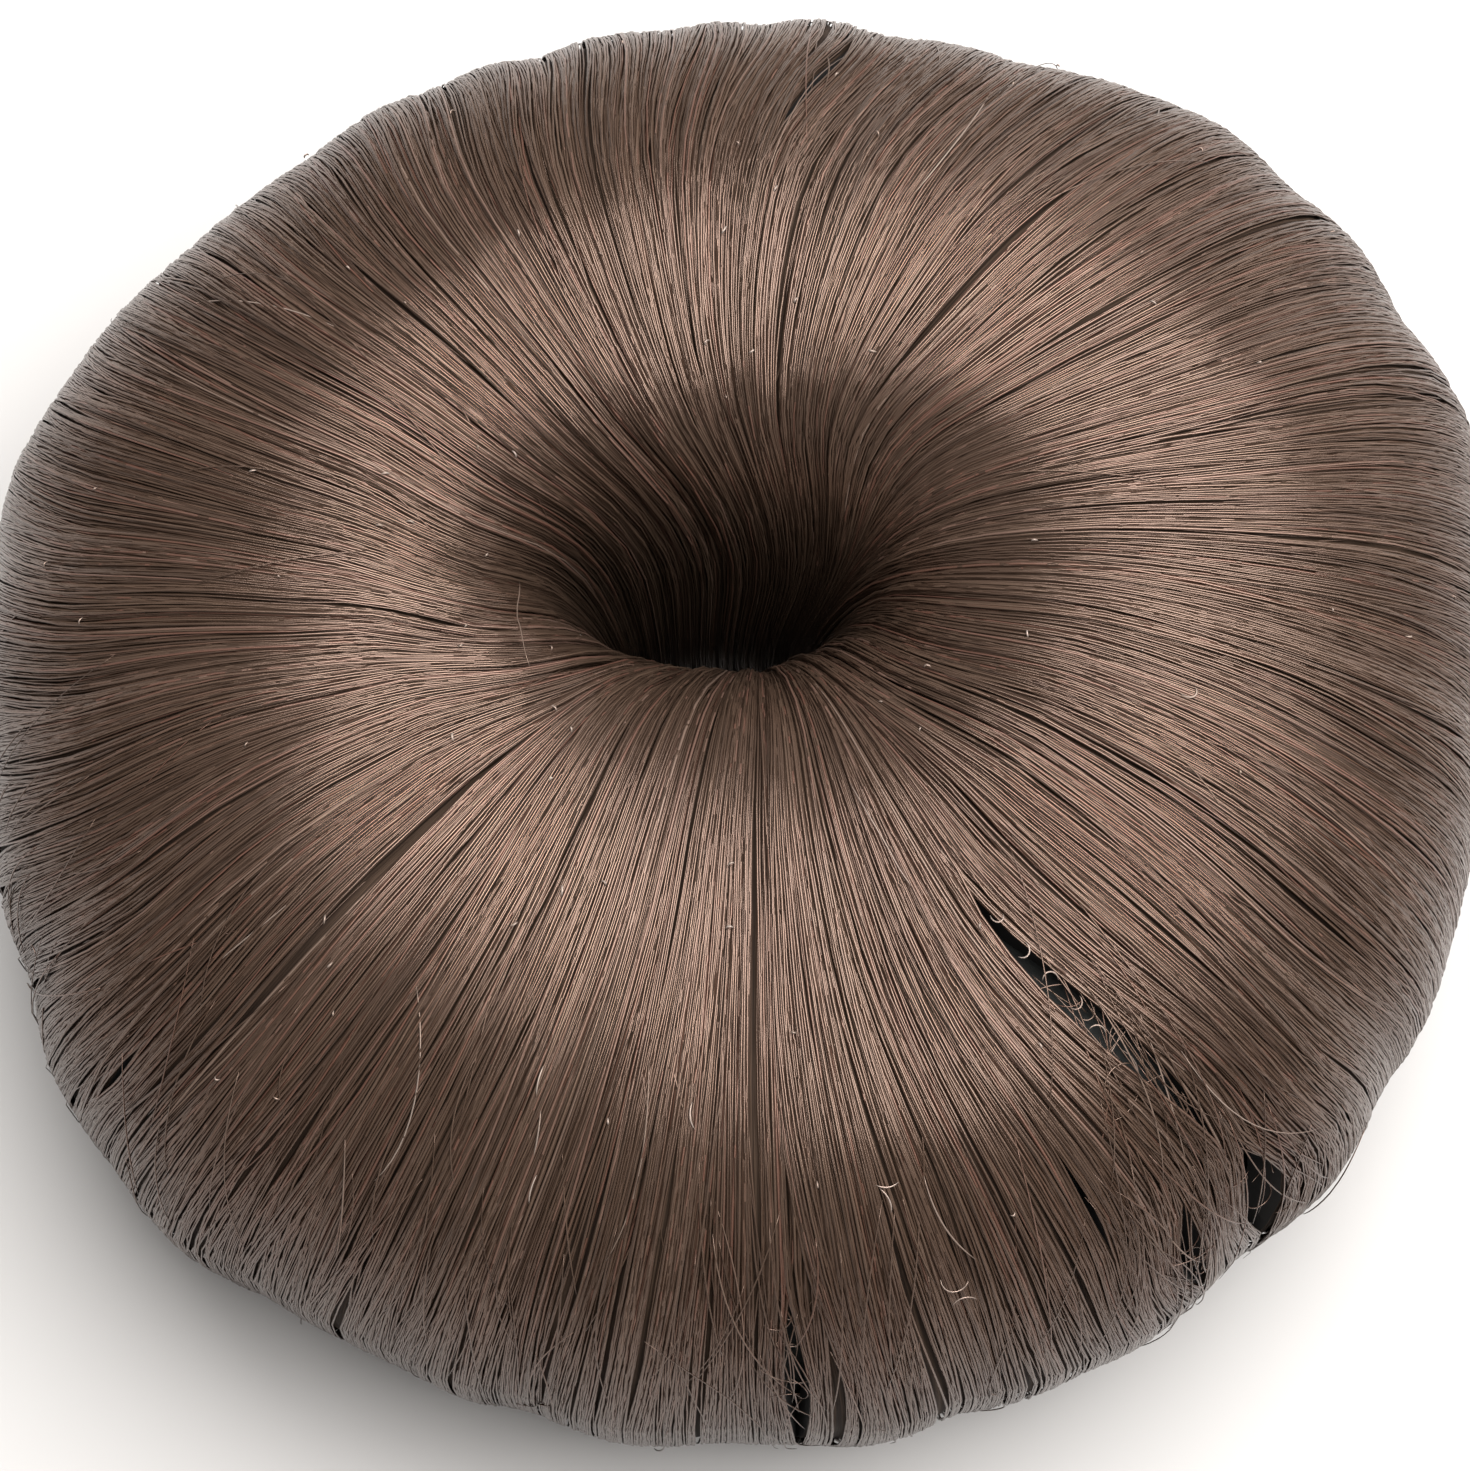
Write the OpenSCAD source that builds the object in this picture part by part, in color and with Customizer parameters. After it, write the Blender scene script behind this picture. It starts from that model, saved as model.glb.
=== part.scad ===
// Ring-shaped hair bun: synthetic hair laid in locks over a padded core ring, on a woven base band with a
// piped edge.
// Z is up along the hole. The ring rests on Z = 0, with its middle over the origin.

/* [Ring] */
// Radius of the rim, before each lock's own reach
rim_r = 46.8; // [44:0.2:52]
// Height from the resting surface to the crest
ring_h = 37.5; // [34:0.5:44]
// Height of the ring's widest line
rim_z = 18.5; // [15:0.5:21]
// Where the crest lies on the way out from the hole to the rim
crest_share = 0.43; // [0.38:0.01:0.48]
// How far the underside is pressed flat
press = 1.2; // [1.2:0.1:2]

/* [Hole] */
// Width of the hole at its waist, left to right
hole_w = 14; // [10:0.5:15]
// Depth of the hole at its waist, front to back
hole_d = 5; // [4.8:0.2:8]
// How far the hole lies left of the middle of the ring
hole_left = 2.5; // [0:0.5:3]
// How far the hole lies behind the middle of the ring
hole_back = 3.5; // [0:0.5:3.5]
// Height of the hole's waist
waist_z = 5; // [4:0.5:16]

/* [Hair] */
// Hair on the crest of the core
hair_top = 3.5; // [2.5:0.1:5]
// Hair between the core and the rim
hair_side = 4.6; // [4:0.1:6]
// Hair between the core and the sides of the hole
hair_hole = 3.8; // [3:0.1:5]
// Hair turned under the ring, where it rests
hem_t = 1.6; // [1.2:0.1:2.5]
// Width of the floor of a closed groove between two locks
groove_w = 0.3; // [0.2:0.05:0.6]

/* [Core and base] */
// Clearance between the core and the hair round it
core_gap = 0.5; // [0.4:0.1:1]
// Clearance round the base band
band_gap = 0.4; // [0.3:0.05:0.5]
// Thickness of the woven base band
band_t = 1.2; // [1:0.1:2]
// Section angle of the band's outer edge, where 270 is under the middle of the core
band_outer = 229; // [228:1:240]
// Section angle of the band's inner edge
band_inner = 300; // [290:1:312]
// Section angle of the piping outside the band's edge
piping_at = 218; // [214:1:219]
// Diameter of the piping
piping_d = 2.2; // [1.8:0.1:2.4]

/* [Hidden] */
$fn = 128;

// Squareness of the outlines, where 2 is an ellipse: the hair's section outside and inside its crest and
// below its widest line, the core, and the foot of the space that holds core and band
top_square = 2.15;
funnel_square = 2.8;
foot_square = 4;
core_square = 2.3;
space_square = 4.2;

// Locks in order round the ring, one row each: azimuth of the groove before it at the rim, how far the
// hair turns between the hole and the rim, reach of its crown as a share of rim_r, and depth of the
// groove before it as a share of hair_side
LOCKS = [
  // rim, turn, reach, depth
  [-4, -6, 0.985, 0.14],
  [12, -6, 1.045, 0.10],
  [30, -8, 1.051, 0.20],
  [43, -10, 1.047, 0.14],
  [57, -10, 1.002, 0.05],
  [66, -8, 0.976, 0.12],
  [78, -8, 0.979, 0.28],
  [89, -8, 0.967, 0.18],
  [96, -8, 0.966, 0.12],
  [109, -8, 0.973, 0.20],
  [117, -8, 0.979, 0.14],
  [130, -8, 0.980, 0.12],
  [144, -6, 1.010, 0.04],
  [156, -3, 1.040, 0.05],
  [172, 0, 1.022, 0.14],
  [187, 0, 1.014, 0.16],
  [203, -2, 1.035, 0.22],
  [218, -4, 1.036, 0.06],
  [231, -5, 0.990, 0.12],
  [243, -6, 0.987, 0.08],
  [252, -6, 0.986, 0.20],
  [269, -6, 0.973, 0.16],
  [273, -6, 0.987, 0.10],
  [286, -7, 0.980, 0.20],
  [297, -8, 0.986, 0.05],
  [304, -8, 0.970, 0.08],
  [310, -8, 0.986, 0.20],
  [327, -6, 0.973, 0.18],
  [341, -6, 0.966, 0.06],
];
function rim_at(i) = LOCKS[i % len(LOCKS)][0] + 360 * floor(i / len(LOCKS));
function turn_at(i) = LOCKS[i % len(LOCKS)][1];
function reach_at(i) = LOCKS[(i + len(LOCKS)) % len(LOCKS)][2];
function depth_at(i) = LOCKS[i % len(LOCKS)][3];

// Partings that open through the hair to the core, one row each: the lock that follows it, the angles
// round the section where it begins and ends, and its width as a share of hair_side
PARTINGS = [
  // lock, from, to, width
  [6, 108, 150, 0.20],
  [22, 140, 176, 0.35],
  [25, 150, 182, 0.33],
  [26, 84, 164, 0.42],
];
function partings_of(i) = [for (p = PARTINGS) if (p[0] == i) p];

// Angles round the section: -90 under the hole's edge, 0 at its waist, 90 at the crest, 180 at the rim
hole_hem = -72;
rim_hem = 258;
rows = 24;
function angle_of(row) = hole_hem + (rim_hem - hole_hem) * row / (rows - 1);

// Columns of the skin: a lock's own two shoulders and crown follow the groove before it. Where the hair
// parts, that groove has a left and a right lip.
SHOULDERS = [0.22, 0.5, 0.78];
// [lock, share of the way across it, side of the groove]
columns = [
  for (i = [0:len(LOCKS) - 1]) each concat(
    len(partings_of(i)) > 0 ? [[i, 0, -1], [i, 0, 1]] : [[i, 0, 0]],
    [for (s = SHOULDERS) [i, s, 0]]
  )
];

function mix(a, b, share) = a + (b - a) * share;
function rounded(v, square) = pow(abs(v), 2 / square);

// Way out from the hole (0) to the rim (1), and height, of a section's outline at an angle
function way_out(angle, crest, square) =
  let(part = rounded(cos(angle), square))
  cos(angle) > 0 ? crest * (1 - part) : crest + (1 - crest) * part;
function height(angle, low, middle, high, square) =
  mix(middle, sin(angle) > 0 ? high : low, rounded(sin(angle), square));

// Reach of the hair at a share of the way across a lock: its own in the middle, the mean at its grooves
function reach(i, s) =
  mix(reach_at(i), (reach_at(i) + reach_at(s < 0.5 ? i - 1 : i + 1)) / 2, abs(2 * s - 1));
// Depth below the crown, full in the groove and none in the middle of the lock
groove_sharpness = 4;
function sinking(i, s) =
  hair_side * mix(depth_at(i), depth_at(i + 1), s) * pow(abs(cos(180 * s)), groove_sharpness);
// Grooves are shallow on the crest and in the hole, full at the rim where the hair is gathered, and almost
// gone where it is tucked under the ring
shallow = 0.45;
tucked = 0.1;
function gathering(angle) =
  angle < 180 ? mix(shallow, 1, pow(sin(max(angle - 90, 0)), 2)) : mix(tucked, 1, pow(cos(angle - 180), 2));
// Width between the lips of a parting at an angle
function parting_w(i, angle) =
  groove_w + max([0, for (p = partings_of(i))
    if (angle > p[1] && angle < p[2])
      (p[3] * hair_side - groove_w) * sin(180 * (angle - p[1]) / (p[2] - p[1]))]);

// Azimuth of a column at the rim and at the hole
function rim_az(column) = mix(rim_at(column[0]), rim_at(column[0] + 1), column[1]);
function hole_az(column) = rim_az(column) - mix(turn_at(column[0]), turn_at(column[0] + 1), column[1]);

// Half the width of a column's parting at an angle, towards its own side, narrowing into the hole
hole_lips = 0.3;
function aside(column, angle, out) =
  let(az = rim_az(column))
  column[2] * parting_w(column[0], angle) / 2 * mix(hole_lips, 1, out) * [-sin(az), cos(az)];

// A point of the hair's outer skin, before the ring is centred
function skin_point(column, angle) =
  let(
    rim = rim_r * reach(column[0], column[1]) * [cos(rim_az(column)), sin(rim_az(column))],
    hole = [hole_w / 2 * cos(hole_az(column)) - hole_left, hole_d / 2 * sin(hole_az(column)) + hole_back],
    outward = (rim - hole) / norm(rim - hole),
    sunk = sinking(column[0], column[1]) * gathering(angle),
    square = sin(angle) < 0 ? foot_square : cos(angle) > 0 ? funnel_square : top_square,
    out = way_out(angle, crest_share, square),
    plan = mix(hole, rim, out) + outward * cos(angle) * sunk + aside(column, angle, out),
    z = height(angle, -press, cos(angle) > 0 ? waist_z : rim_z, ring_h, square) - sin(angle) * sunk
  )
  [plan[0], plan[1], max(z, 0)];

// The core ring's own section, and the space for it and the band inside the hair
core_in = hole_w / 2 + hole_left + hair_hole;
core_out = rim_r - hair_side;
core_top = ring_h - hair_top;
band_z = hem_t + band_gap;
core_foot = band_z + band_t + band_gap;
core_z = (waist_z + rim_z) / 2;
core_crest = 0.5;
function core_section(angle, grow, foot, foot_square) =
  let(square = sin(angle) > 0 ? core_square : foot_square)
  [
    mix(core_in - grow, core_out + grow, way_out(angle, core_crest, square)),
    height(angle, foot, core_z, core_top + grow, square)
  ];
// The band follows the foot of that space, at a height above the band's underside
function band_section(angle, above) =
  core_section(angle, core_gap - band_gap - above, band_z + above, space_square);
function space_point(column, angle) =
  let(
    p = core_section(angle, core_gap, hem_t, space_square),
    out = (p[0] - core_in) / (core_out - core_in),
    az = mix(hole_az(column), rim_az(column), out),
    plan = p[0] * [cos(az), sin(az)] + aside(column, angle, out)
  )
  [plan[0], plan[1], p[1]];

skin = [for (c = columns) [for (row = [0:rows - 1]) skin_point(c, angle_of(row))]];
skin_x = [for (c = skin) each [for (p = c) p[0]]];
skin_y = [for (c = skin) each [for (p = c) p[1]]];
// Moves the middle of the finished ring over the origin
centring = -[(max(skin_x) + min(skin_x)) / 2, (max(skin_y) + min(skin_y)) / 2, 0];

// True where the cell after a column and a row is part of an open parting
function is_open(c, row) =
  let(angle = (angle_of(row) + angle_of(row + 1)) / 2)
  columns[c][2] == -1
  && len([for (p = partings_of(columns[c][0])) if (angle > p[1] && angle < p[2]) p]) > 0;

// Numbers of the points: the outer skin's, and behind each the one on the inner space
function outer(c, row) = ((c + len(columns)) % len(columns)) * rows + row;
function inner(c, row) = outer(c, row) + len(columns) * rows;
function quad(a, b, c, d) = [[a, b, c], [a, c, d]];
function wall(c1, row1, c2, row2) =
  quad(outer(c1, row1), outer(c2, row2), inner(c2, row2), inner(c1, row1));

module hair_cover() {
  points = concat(
    [for (c = skin) each c],
    [for (c = columns) each [for (row = [0:rows - 1]) space_point(c, angle_of(row))]]
  );
  last = rows - 1;
  faces = [
    for (c = [0:len(columns) - 1]) each concat(
      [for (row = [0:last - 1]) each
        !is_open(c, row)
          ? concat(
              quad(outer(c, row), outer(c + 1, row), outer(c + 1, row + 1), outer(c, row + 1)),
              quad(inner(c, row), inner(c, row + 1), inner(c + 1, row + 1), inner(c + 1, row))
            )
          : concat(
              wall(c, row + 1, c, row),
              wall(c + 1, row, c + 1, row + 1),
              row == 0 || !is_open(c, row - 1) ? wall(c, row, c + 1, row) : [],
              row == last - 1 || !is_open(c, row + 1) ? wall(c + 1, row + 1, c, row + 1) : []
            )
      ],
      wall(c + 1, 0, c, 0),
      wall(c, last, c + 1, last)
    )
  ];
  color("#5f4d42") translate(centring) polyhedron(points, faces, convexity = 8);
}

module core_ring() {
  steps = 48;
  color("#1c1a19") translate(centring) rotate_extrude() polygon([
    for (step = [0:steps - 1]) core_section(360 * step / steps - 90, 0, core_foot, core_square)
  ]);
}

module base_band() {
  steps = 12;
  color("#4a2620") translate(centring) rotate_extrude() polygon(concat(
    [for (step = [0:steps]) band_section(mix(band_outer, band_inner, step / steps), 0)],
    [for (step = [steps:-1:0]) band_section(mix(band_outer, band_inner, step / steps), band_t)]
  ));
}

module edge_piping() {
  color("#5a2c24") translate(centring) rotate_extrude()
    translate(band_section(piping_at, piping_d / 2)) circle(d = piping_d);
}

hair_cover();
core_ring();
base_band();
edge_piping();
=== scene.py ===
"""Looks for the hair donut bun maker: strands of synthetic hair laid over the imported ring, the padded core,
the woven base band with its piping, and a plain pale studio.

Lengths in the tables are millimetres and angles are degrees. A place on the hair is (azimuth, section
angle): the azimuth round the ring, 0 at +X, and how far round the ring's section, -90 under the edge of the
hole, 0 at the hole's waist, 90 on the crest, 180 at the rim. A hair is named by the azimuth at which it
crosses the crest.
"""

import math

import bpy
import bmesh
import numpy as np
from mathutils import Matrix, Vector
from mathutils.bvhtree import BVHTree


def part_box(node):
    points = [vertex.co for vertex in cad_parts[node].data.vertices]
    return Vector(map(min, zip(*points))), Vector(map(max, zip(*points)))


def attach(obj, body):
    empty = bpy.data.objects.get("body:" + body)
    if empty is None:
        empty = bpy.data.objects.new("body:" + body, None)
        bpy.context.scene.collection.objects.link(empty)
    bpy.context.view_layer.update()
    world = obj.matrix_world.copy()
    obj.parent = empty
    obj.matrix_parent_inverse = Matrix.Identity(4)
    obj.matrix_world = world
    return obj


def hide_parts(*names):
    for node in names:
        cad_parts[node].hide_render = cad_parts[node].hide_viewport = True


MM = 0.001
FULL_TURN = 2 * math.pi
# Keeps a length that divides from being nothing
TINY = 1e-9
# The layer that holds each piece's place for its material
UV_LAYER = "strand"

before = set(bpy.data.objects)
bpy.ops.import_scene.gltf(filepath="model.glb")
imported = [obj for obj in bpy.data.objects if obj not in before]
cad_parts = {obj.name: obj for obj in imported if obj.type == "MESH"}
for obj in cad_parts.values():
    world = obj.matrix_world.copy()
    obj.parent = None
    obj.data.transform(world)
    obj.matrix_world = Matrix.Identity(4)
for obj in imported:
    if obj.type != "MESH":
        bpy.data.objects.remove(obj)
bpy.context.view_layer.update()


def box_mm(node):
    """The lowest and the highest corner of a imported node, in millimetres."""
    return [np.array(corner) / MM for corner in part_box(node)]


def tree_of(node):
    """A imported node's triangles, in millimetres, for rays."""
    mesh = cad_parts[node].data
    points = [vertex.co / MM for vertex in mesh.vertices]
    return BVHTree.FromPolygons(points, [tuple(polygon.vertices) for polygon in mesh.polygons])


# The ring's form, as the CAD model has it

# The ellipses of the rim and of the hole
HAIR_LOW, HAIR_HIGH = box_mm("hair_cover")
RIM_HALF = (HAIR_HIGH - HAIR_LOW)[:2] / 2
RIM_MIDDLE = (HAIR_HIGH + HAIR_LOW)[:2] / 2
HOLE_MIDDLE = np.array([-1.68, 3.52])
HOLE_HALF = np.array([7.0, 2.5])
HOLE_TURN = 8
# The section's heights, how far out its crest lies, and how square its quarters are
WAIST_Z, RIM_Z, CREST_Z, FOOT_Z = 5, 18.5, HAIR_HIGH[2], -1.2
CREST_SHARE = 0.43
FUNNEL_SQUARE, TOP_SQUARE, FOOT_SQUARE = 2.8, 2.15, 4.0
# The section angles of the hair's two hems, and how many rows of points the CAD model has between them
HOLE_HEM, RIM_HEM, CAD_ROWS = -72, 258, 24
# The middle of the section, where the rays that find a skin start
EYE_SHARE, EYE_Z = 0.45, 18
EYE_RADIUS = HOLE_HALF.mean() + (RIM_HALF - HOLE_HALF).mean() * EYE_SHARE

# How far a hair has turned about the hole from where it crosses the crest, at six section angles
LEAN_AT = (20, 60, 90, 135, 180, 258)
LEANS = [
    # crest azimuth, then the turn at each section angle of LEAN_AT
    (0, 8, 0, 0, 2, 4, 5),
    (24, -10, 2, 0, 2, 3, 3),
    (48, -28, -1, 0, -1, -1, -2),
    (72, -36, -7, 0, -3, -3, -4),
    (84, -37, -7, 0, -5, -4, -4),
    (96, -38, -7, 0, -2, -1, -2),
    (120, -39, -8, 0, -2, -3, -5),
    (144, -29, -3, 0, -3, -6, -9),
    (168, -7, 9, 0, -8, -15, -18),
    (192, 21, 18, 0, -10, -19, -22),
    (216, 30, 15, 0, -5, -10, -13),
    (240, 17, 3, 0, -4, -7, -9),
    (264, 13, 4, 0, -4, -6, -8),
    (288, 3, 2, 0, 5, 8, 10),
    (299, -4, -2, 0, 10, 11.5, 13),
    (312, -9, -9, 0, 6, 10, 12),
    (336, 4, -8, 0, 2, 3, 4),
]

# Partings that open through the hair: each follows the hair that crosses the crest at its azimuth
PARTINGS = [
    # crest azimuth, section angles where it begins and ends, width
    (298.8, 93, 146, 1.8),
    (300.4, 149, 183, 3.4),
    (295.2, 150, 181, 1.9),
    (291.0, 130, 152, 0.45),
    (274.6, 141, 190, 1.5),
    (223.8, 146, 162, 0.6),
    (84.4, 104, 137, 0.9),
]
# How slim the ends of a parting are
PARTING_SLIM = 1.1
# The hairs beside a parting give way over this many of its widths, and none beyond this many degrees. One
# that crosses to the other side keeps this share of its way there
GIVE_WIDTHS, GIVE_DEGREES, CROSSING = 1.6, 60, 0.1


# Curves and blurs

def mix(a, b, share):
    return a + (b - a) * share


def rising(at, start, over):
    """0 up to the start, then straight up to 1 over the stretch after it."""
    return np.clip((at - start) / over, 0, 1)


def curve(at, knots, values):
    """A smooth curve through values at rising knots, level beyond its ends."""
    values = np.asarray(values, float)
    slopes = np.gradient(values, knots, axis=0)
    slopes[0] = slopes[-1] = 0
    found = values[0] + np.zeros(np.broadcast(at, values[0]).shape)
    for k, wide in enumerate(np.diff(knots)):
        t = rising(at, knots[k], wide)
        found += (values[k + 1] - values[k]) * t * t * (3 - 2 * t)
        found += wide * (slopes[k] * t * (1 - t) ** 2 - slopes[k + 1] * t * t * (1 - t))
    return found


def blurred(rows, sigma, wrap):
    """Each row of numbers blurred along its last axis."""
    reach = int(3 * sigma)
    weights = np.exp(-0.5 * (np.arange(-reach, reach + 1) / sigma) ** 2)
    padded = np.pad(rows, [(0, 0), (reach, reach)], mode="wrap" if wrap else "edge")
    return np.stack([np.convolve(row, weights / weights.sum(), "valid") for row in padded])


def smooth_rows(rows, fine):
    """Smooth curves through rows of numbers, at fine times as many rows."""
    place = np.linspace(0, len(rows) - 1, (len(rows) - 1) * fine + 1)
    base = np.minimum(place.astype(int), len(rows) - 2)
    t = (place - base)[:, None]
    p = [rows[np.clip(base + k, 0, len(rows) - 1)] for k in (-1, 0, 1, 2)]
    return 0.5 * (2 * p[1] + (p[2] - p[0]) * t + (2 * p[0] - 5 * p[1] + 4 * p[2] - p[3]) * t * t
                  + (3 * p[1] - p[0] - 3 * p[2] + p[3]) * t ** 3)


def bridged(rows, sound):
    """Rows round the ring with the values that aren't sound drawn straight between those that are."""
    at = np.arange(rows.shape[1])
    return np.stack([np.interp(at, at[good], row[good], period=len(at)) for row, good in zip(rows, sound)])


def waves(random, angle, scale, size):
    """Slow random curves along the section angle, a row for each strand. The slowest spans scale degrees."""
    found = np.zeros(angle.shape)
    for k in (1, 2, 3):
        phase = random.uniform(0, 360, (len(angle), 1))
        amount = random.normal(0, size / k, (len(angle), 1))
        found += amount * np.sin(np.radians(angle * k * 360 / scale + phase))
    return found


# Places on the hair

def section(angle):
    """Way out from the hole (0) to the rim (1), and height, of the ring's section at an angle."""
    cos, sin = np.cos(np.radians(angle)), np.sin(np.radians(angle))
    square = np.where(sin < 0, FOOT_SQUARE, np.where(cos > 0, FUNNEL_SQUARE, TOP_SQUARE))
    part, rise = np.abs(cos) ** (2 / square), np.abs(sin) ** (2 / square)
    share = np.where(cos > 0, CREST_SHARE * (1 - part), CREST_SHARE + (1 - CREST_SHARE) * part)
    middle = np.where(cos > 0, WAIST_Z, RIM_Z)
    return share, mix(middle, np.where(sin > 0, CREST_Z, FOOT_Z), rise)


def across_mm(angle):
    """Millimetres round the ring for one degree, at a section angle."""
    share, _ = section(angle)
    return np.radians(mix(HOLE_HALF.mean(), RIM_HALF.mean(), share))


def ray(azimuth, angle):
    """Start and direction of the ray through the section at an azimuth and an angle, in millimetres."""
    rim_az, hole_az = np.radians(azimuth), np.radians(azimuth + HOLE_TURN)
    hole = HOLE_MIDDLE + HOLE_HALF * np.stack([np.cos(hole_az), np.sin(hole_az)], -1)
    rim = RIM_MIDDLE + RIM_HALF * np.stack([np.cos(rim_az), np.sin(rim_az)], -1)
    share, z = section(angle)
    start = np.concatenate([mix(hole, rim, EYE_SHARE), np.full(hole.shape[:-1] + (1,), float(EYE_Z))], -1)
    aim = np.concatenate([mix(hole, rim, share[..., None]), z[..., None]], -1)
    way = aim - start
    return start, way / np.linalg.norm(way, axis=-1, keepdims=True)


class Skin:
    """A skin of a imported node, found by rays from inside the ring's section: the nth that they meet."""

    COLUMNS = 720
    # How far past a surface the next ray starts
    PAST = 0.01
    # A ray that ends this share nearer or farther than the middle one of those beside it went astray, and so
    # may the few on each side of it
    BESIDE, ODD, ASTRAY = 20, 0.06, 5
    # Rows for each row of the CAD model, and how far the skin is blurred: round the ring in columns, and
    # along the section in rows of that model
    FINE, ROUND_BLUR, ALONG_BLUR = 3, 2.6, 0.6
    # How far short of the last row a place stays, and the least height of a point over the floor
    SHORT, LEAST_Z = 0.001, 0.06

    def __init__(self, node, nth):
        tree = tree_of(node)
        azimuth = np.arange(self.COLUMNS) * 360 / self.COLUMNS
        starts, ways = ray(*np.meshgrid(azimuth, np.linspace(HOLE_HEM, RIM_HEM, CAD_ROWS)))
        far = np.full(starts.shape[:2], np.nan)
        for place in np.ndindex(far.shape):
            start, way = Vector(starts[place]), Vector(ways[place])
            point = start
            for _ in range(nth):
                point = tree.ray_cast(point + way * self.PAST, way)[0]
                if point is None:
                    break
            else:
                far[place] = (point - start).length
        around = np.pad(bridged(far, ~np.isnan(far)), [(0, 0), (self.BESIDE, self.BESIDE)], mode="wrap")
        windows = np.lib.stride_tricks.sliding_window_view(around, 2 * self.BESIDE + 1, axis=1)
        sound = np.abs(far / np.median(windows, axis=2) - 1) < self.ODD
        sound = np.all([np.roll(sound, k, 1) for k in range(-self.ASTRAY, self.ASTRAY + 1)], axis=0)
        far = smooth_rows(blurred(bridged(far, sound), self.ROUND_BLUR, True), self.FINE)
        self.far = blurred(far.T, self.ALONG_BLUR * self.FINE, False).T

    def at(self, azimuth, angle, lift):
        """Points at a lift above the skin, in millimetres."""
        azimuth, angle, lift = np.broadcast_arrays(azimuth, angle, lift)
        start, way = ray(azimuth, angle)
        across = (azimuth % 360) * self.COLUMNS / 360
        rows = len(self.far) - 1
        along = np.clip((angle - HOLE_HEM) / (RIM_HEM - HOLE_HEM) * rows, 0, rows - self.SHORT)
        i, j = np.floor(across).astype(int), np.floor(along).astype(int)
        u, v = across - i, along - j
        i, k = i % self.COLUMNS, (i + 1) % self.COLUMNS
        far = mix(mix(self.far[j, i], self.far[j, k], u), mix(self.far[j + 1, i], self.far[j + 1, k], u), v)
        found = start + way * (far + lift)[..., None]
        found[..., 2] = np.maximum(found[..., 2], self.LEAST_Z)
        return found


class Pace:
    """The pace at which a strand's points follow the section: even along it, and closer where it bends."""

    # At how many places it is measured, and at which azimuth
    SAMPLES, AZIMUTH = 400, 200
    # How many millimetres a bend of one degree counts for
    FOR_BEND = 0.3

    def __init__(self, skin):
        self.angles = np.linspace(HOLE_HEM, RIM_HEM, self.SAMPLES)
        steps = np.diff(skin.at(self.AZIMUTH, self.angles, 0), axis=0)
        self.lengths = np.linalg.norm(steps, axis=1)
        heading = steps / self.lengths[:, None]
        bend = np.degrees(np.arccos(np.clip((heading[1:] * heading[:-1]).sum(1), -1, 1)))
        counted = self.lengths + self.FOR_BEND * np.concatenate([[0], bend])
        self.gone = np.concatenate([[0], np.cumsum(counted)])

    def points(self, first, last, steps):
        """Section angles of the points of each strand, one row each, from its first to its last."""
        start, end = (np.interp(edge, self.angles, self.gone)[:, None] for edge in (first, last))
        return np.interp(mix(start, end, np.linspace(0, 1, steps)), self.gone, self.angles)

    def along_mm(self, angle):
        """Millimetres along a hair for one degree of section angle."""
        return np.interp(angle, self.angles[1:], self.lengths / np.diff(self.angles))


def lean(crest, angle):
    """The turn of a hair between the crest and a section angle."""
    rows = np.array(LEANS, float)
    once_round = [360] + [0] * len(LEAN_AT)
    rows = np.concatenate([rows[-2:] - once_round, rows, rows[:2] + once_round])
    turns = [curve(np.asarray(crest) % 360, rows[:, 0], column) for column in rows[:, 1:].T]
    return curve(angle, LEAN_AT, turns)


def opening(row, angle):
    """Half the width of a parting at a section angle, in millimetres."""
    _, start, end, width = row
    return width / 2 * np.sin(np.pi * rising(angle, start, end - start)) ** PARTING_SLIM


def parted(crest, angle, offset, side_of=None):
    """Azimuth of a hair that is offset degrees beside a crest azimuth's hair, pushed aside by the partings.

    side_of gives the side of each parting on which a hair lies. Without it, the widest place decides.
    """
    azimuth = crest + lean(crest, angle) + offset
    scale = across_mm(angle)
    shift = 0
    for row in PARTINGS:
        beside = (azimuth - row[0] - lean(row[0], angle) + 180) % 360 - 180
        half = opening(row, angle)
        if side_of is None:
            widest = np.argmax(half, axis=1)[:, None]
            side = np.sign(np.take_along_axis(beside, widest, 1))
        else:
            side = side_of[row]
        apart = beside * side * scale
        near = np.maximum(apart, CROSSING * apart)
        moved = near + half * np.exp(-near / (GIVE_WIDTHS * row[3]))
        shift = shift + (moved - apart) * side / scale * (np.abs(beside) < GIVE_DEGREES) * (half > 0)
    return azimuth + shift


skin = Skin("hair_cover", 2)
lining = Skin("hair_cover", 1)
pace = Pace(skin)


# Meshes

def new_piece(name, verts, faces, uv):
    """A smooth mesh object from points in millimetres, faces of equal size and a pair for each point."""
    mesh = bpy.data.meshes.new(name)
    faces = np.asarray(faces, np.int32)
    mesh.vertices.add(len(verts))
    mesh.vertices.foreach_set("co", (np.asarray(verts) * MM).astype(np.float32).ravel())
    mesh.loops.add(faces.size)
    mesh.loops.foreach_set("vertex_index", faces.ravel())
    mesh.polygons.add(len(faces))
    mesh.polygons.foreach_set("loop_start", np.arange(len(faces), dtype=np.int32) * faces.shape[1])
    mesh.polygons.foreach_set("use_smooth", np.full(len(faces), True))
    mesh.update(calc_edges=True)
    layer = mesh.uv_layers.new(name=UV_LAYER)
    layer.uv.foreach_set("vector", np.asarray(uv, np.float32)[faces.ravel()].ravel())
    piece = bpy.data.objects.new(name, mesh)
    bpy.context.scene.collection.objects.link(piece)
    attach(piece, "root")
    return piece


def along_share(angle):
    """How far along the section an angle lies: 0 at the hem in the hole, 1 at the hem under the rim."""
    return (angle - HOLE_HEM) / (RIM_HEM - HOLE_HEM)


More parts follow.
